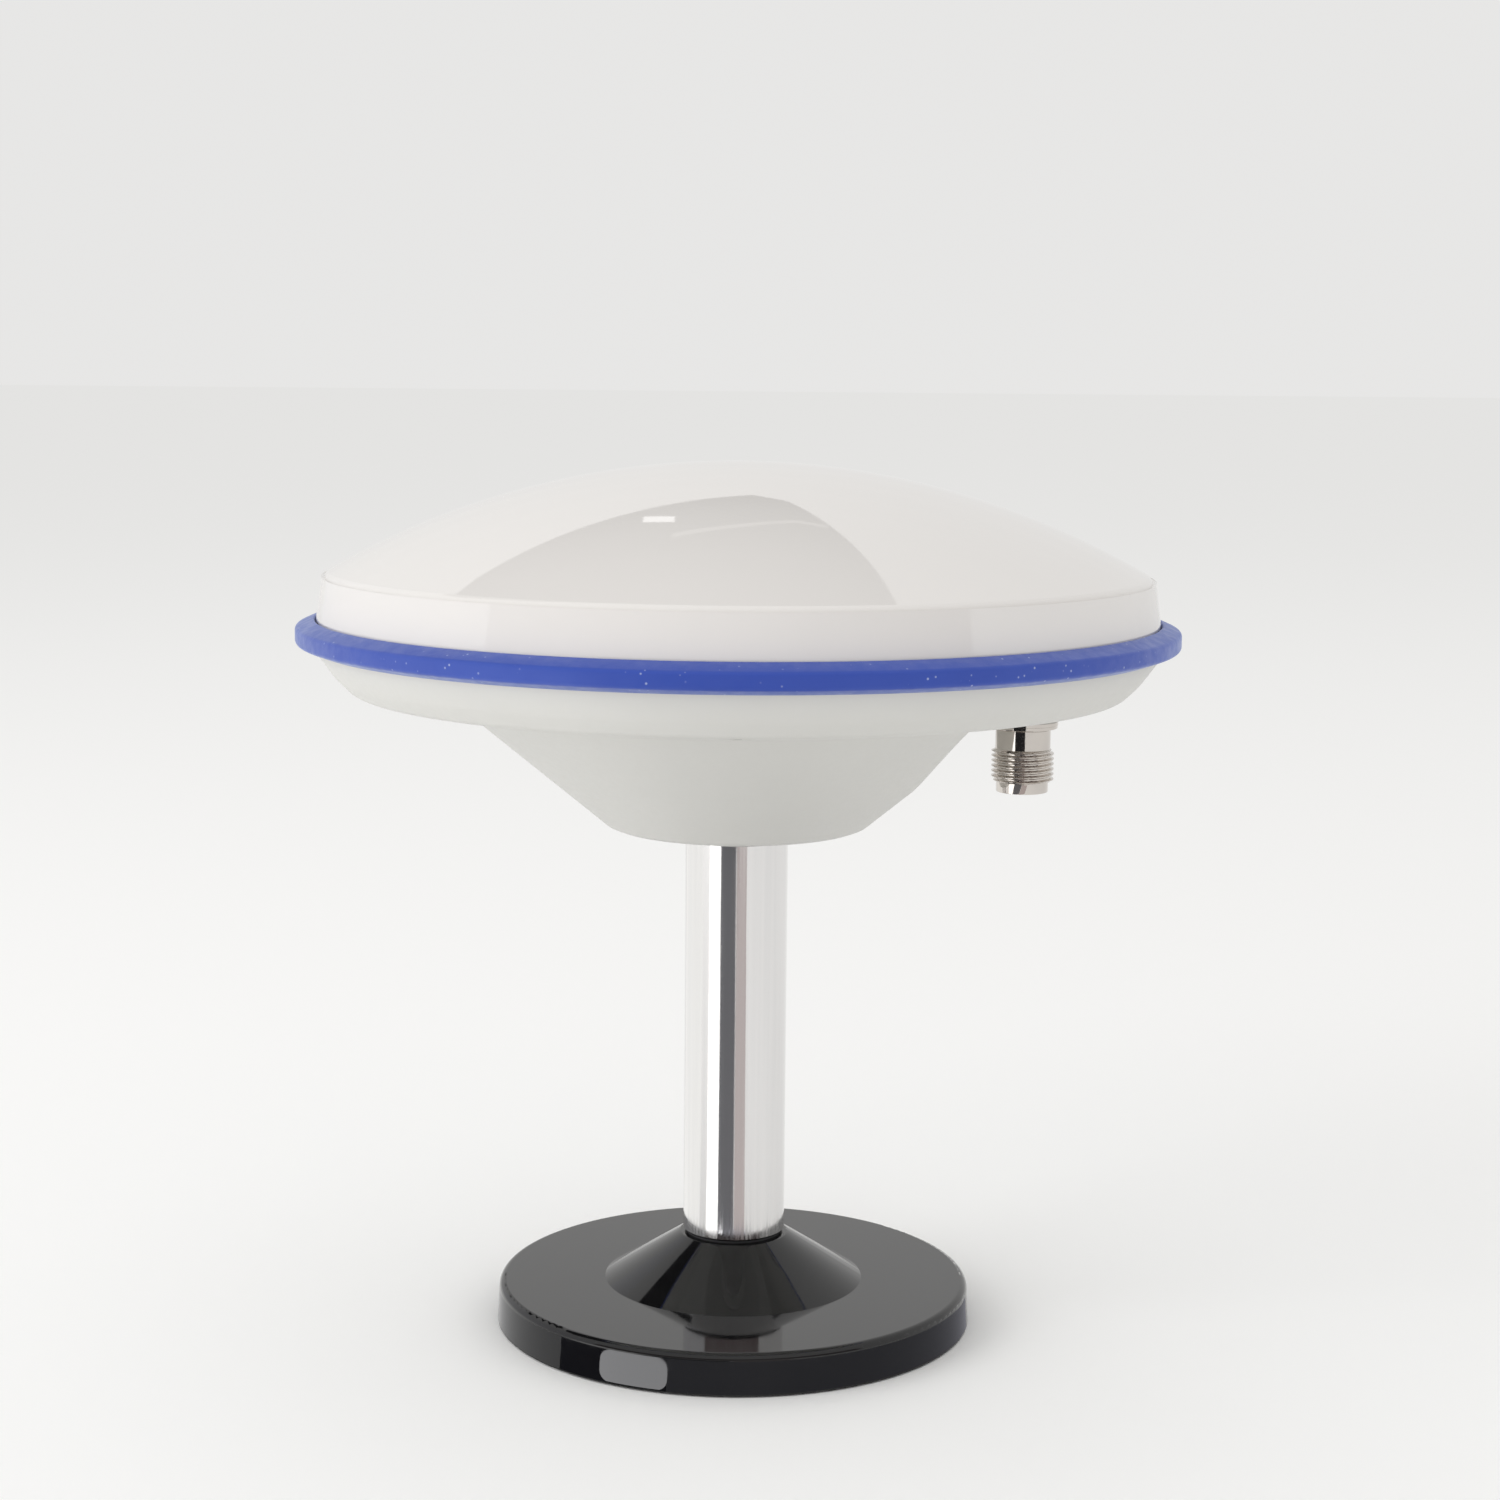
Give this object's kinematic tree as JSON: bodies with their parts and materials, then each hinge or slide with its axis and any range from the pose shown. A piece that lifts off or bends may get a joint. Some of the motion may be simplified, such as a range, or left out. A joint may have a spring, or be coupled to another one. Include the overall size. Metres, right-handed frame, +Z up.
{
  "type": "gnss receiver",
  "caption": "Domed satellite positioning receiver head with a bumper ring and a coaxial jack, screwed on a short polished pole with a round magnetic base.",
  "frame": {"origin": "centre of the base's underside, on the surface the object stands on", "axes": "+Z up along the pole and the head's axis, +X towards the coaxial jack under the head, +Y completes the right-handed frame"},
  "size_m": [0.155, 0.155, 0.1551],
  "materials": {
    "black_gloss": "gloss",
    "black_rubber": "matte",
    "magnet_grey": "satin",
    "plain_steel": "satin",
    "polished_steel": "polished",
    "white_nylon": "matte",
    "housing_white": "fine matte texture",
    "radome_white": "gloss",
    "ring_blue": "satin",
    "brass": "satin",
    "aluminium": "satin",
    "patch_ceramic": "matte",
    "board_green": "satin",
    "nickel": "polished",
    "gold": "polished",
    "white_fluoropolymer": "satin",
    "cable_brown": "satin"
  },
  "bodies": {
    "base": {"base_pad": "black_rubber", "base_cover": "black_gloss", "magnet": "magnet_grey", "magnet_yoke": "plain_steel", "base_hub": "plain_steel", "hub_screws": "plain_steel"},
    "pole_washer": {"pole_washer": "black_rubber"},
    "pole": {"pole_tube": "polished_steel", "pole_foot_plug": "plain_steel", "pole_foot_stud": "plain_steel", "pole_top_plug": "plain_steel", "mounting_stud": "plain_steel"},
    "head_washer": {"head_washer": "white_nylon"},
    "head": {"lower_housing": "housing_white", "threaded_insert": "brass", "bumper_ring": "ring_blue", "radome_gasket": "black_rubber", "radome": "radome_white", "housing_screws": "plain_steel", "ground_plane": "aluminium", "ground_screws": "plain_steel", "lower_patch": "patch_ceramic", "upper_patch": "patch_ceramic", "patch_screw": "white_nylon", "patch_nut": "white_nylon", "feed_pins": "gold", "amplifier_board": "board_green", "amplifier_shield": "aluminium", "board_standoffs": "brass", "board_screws": "plain_steel", "jack_shell": "nickel", "jack_dielectric": "white_fluoropolymer", "jack_contact": "gold", "jack_gasket": "nickel", "jack_lock_washer": "plain_steel", "jack_nut": "nickel", "coax_jumper": "cable_brown"}
  },
  "joints": [
    {"name": "pole_lift", "type": "slide", "parent": "base", "child": "pole_washer", "axis": [0, 0, 1], "range_m": [0, 0.01125]},
    {"name": "pole_turn", "type": "hinge", "parent": "pole_washer", "child": "pole", "pos_m": [0, 0, 0.0164], "axis": [0, 0, 1], "range_deg": [0, 2700.5]},
    {"name": "head_lift", "type": "slide", "parent": "pole", "child": "head_washer", "axis": [0, 0, 1], "range_m": [0, 0.0127]},
    {"name": "head_turn", "type": "hinge", "parent": "head_washer", "child": "head", "pos_m": [0, 0, 0.0904], "axis": [0, 0, 1], "range_deg": [0, 1980.5]}
  ],
  "couplings": [
    {"joint": "pole_turn", "follows": "pole_lift", "rad_per_m": 4188.8},
    {"joint": "head_turn", "follows": "head_lift", "rad_per_m": 2721.1}
  ]
}
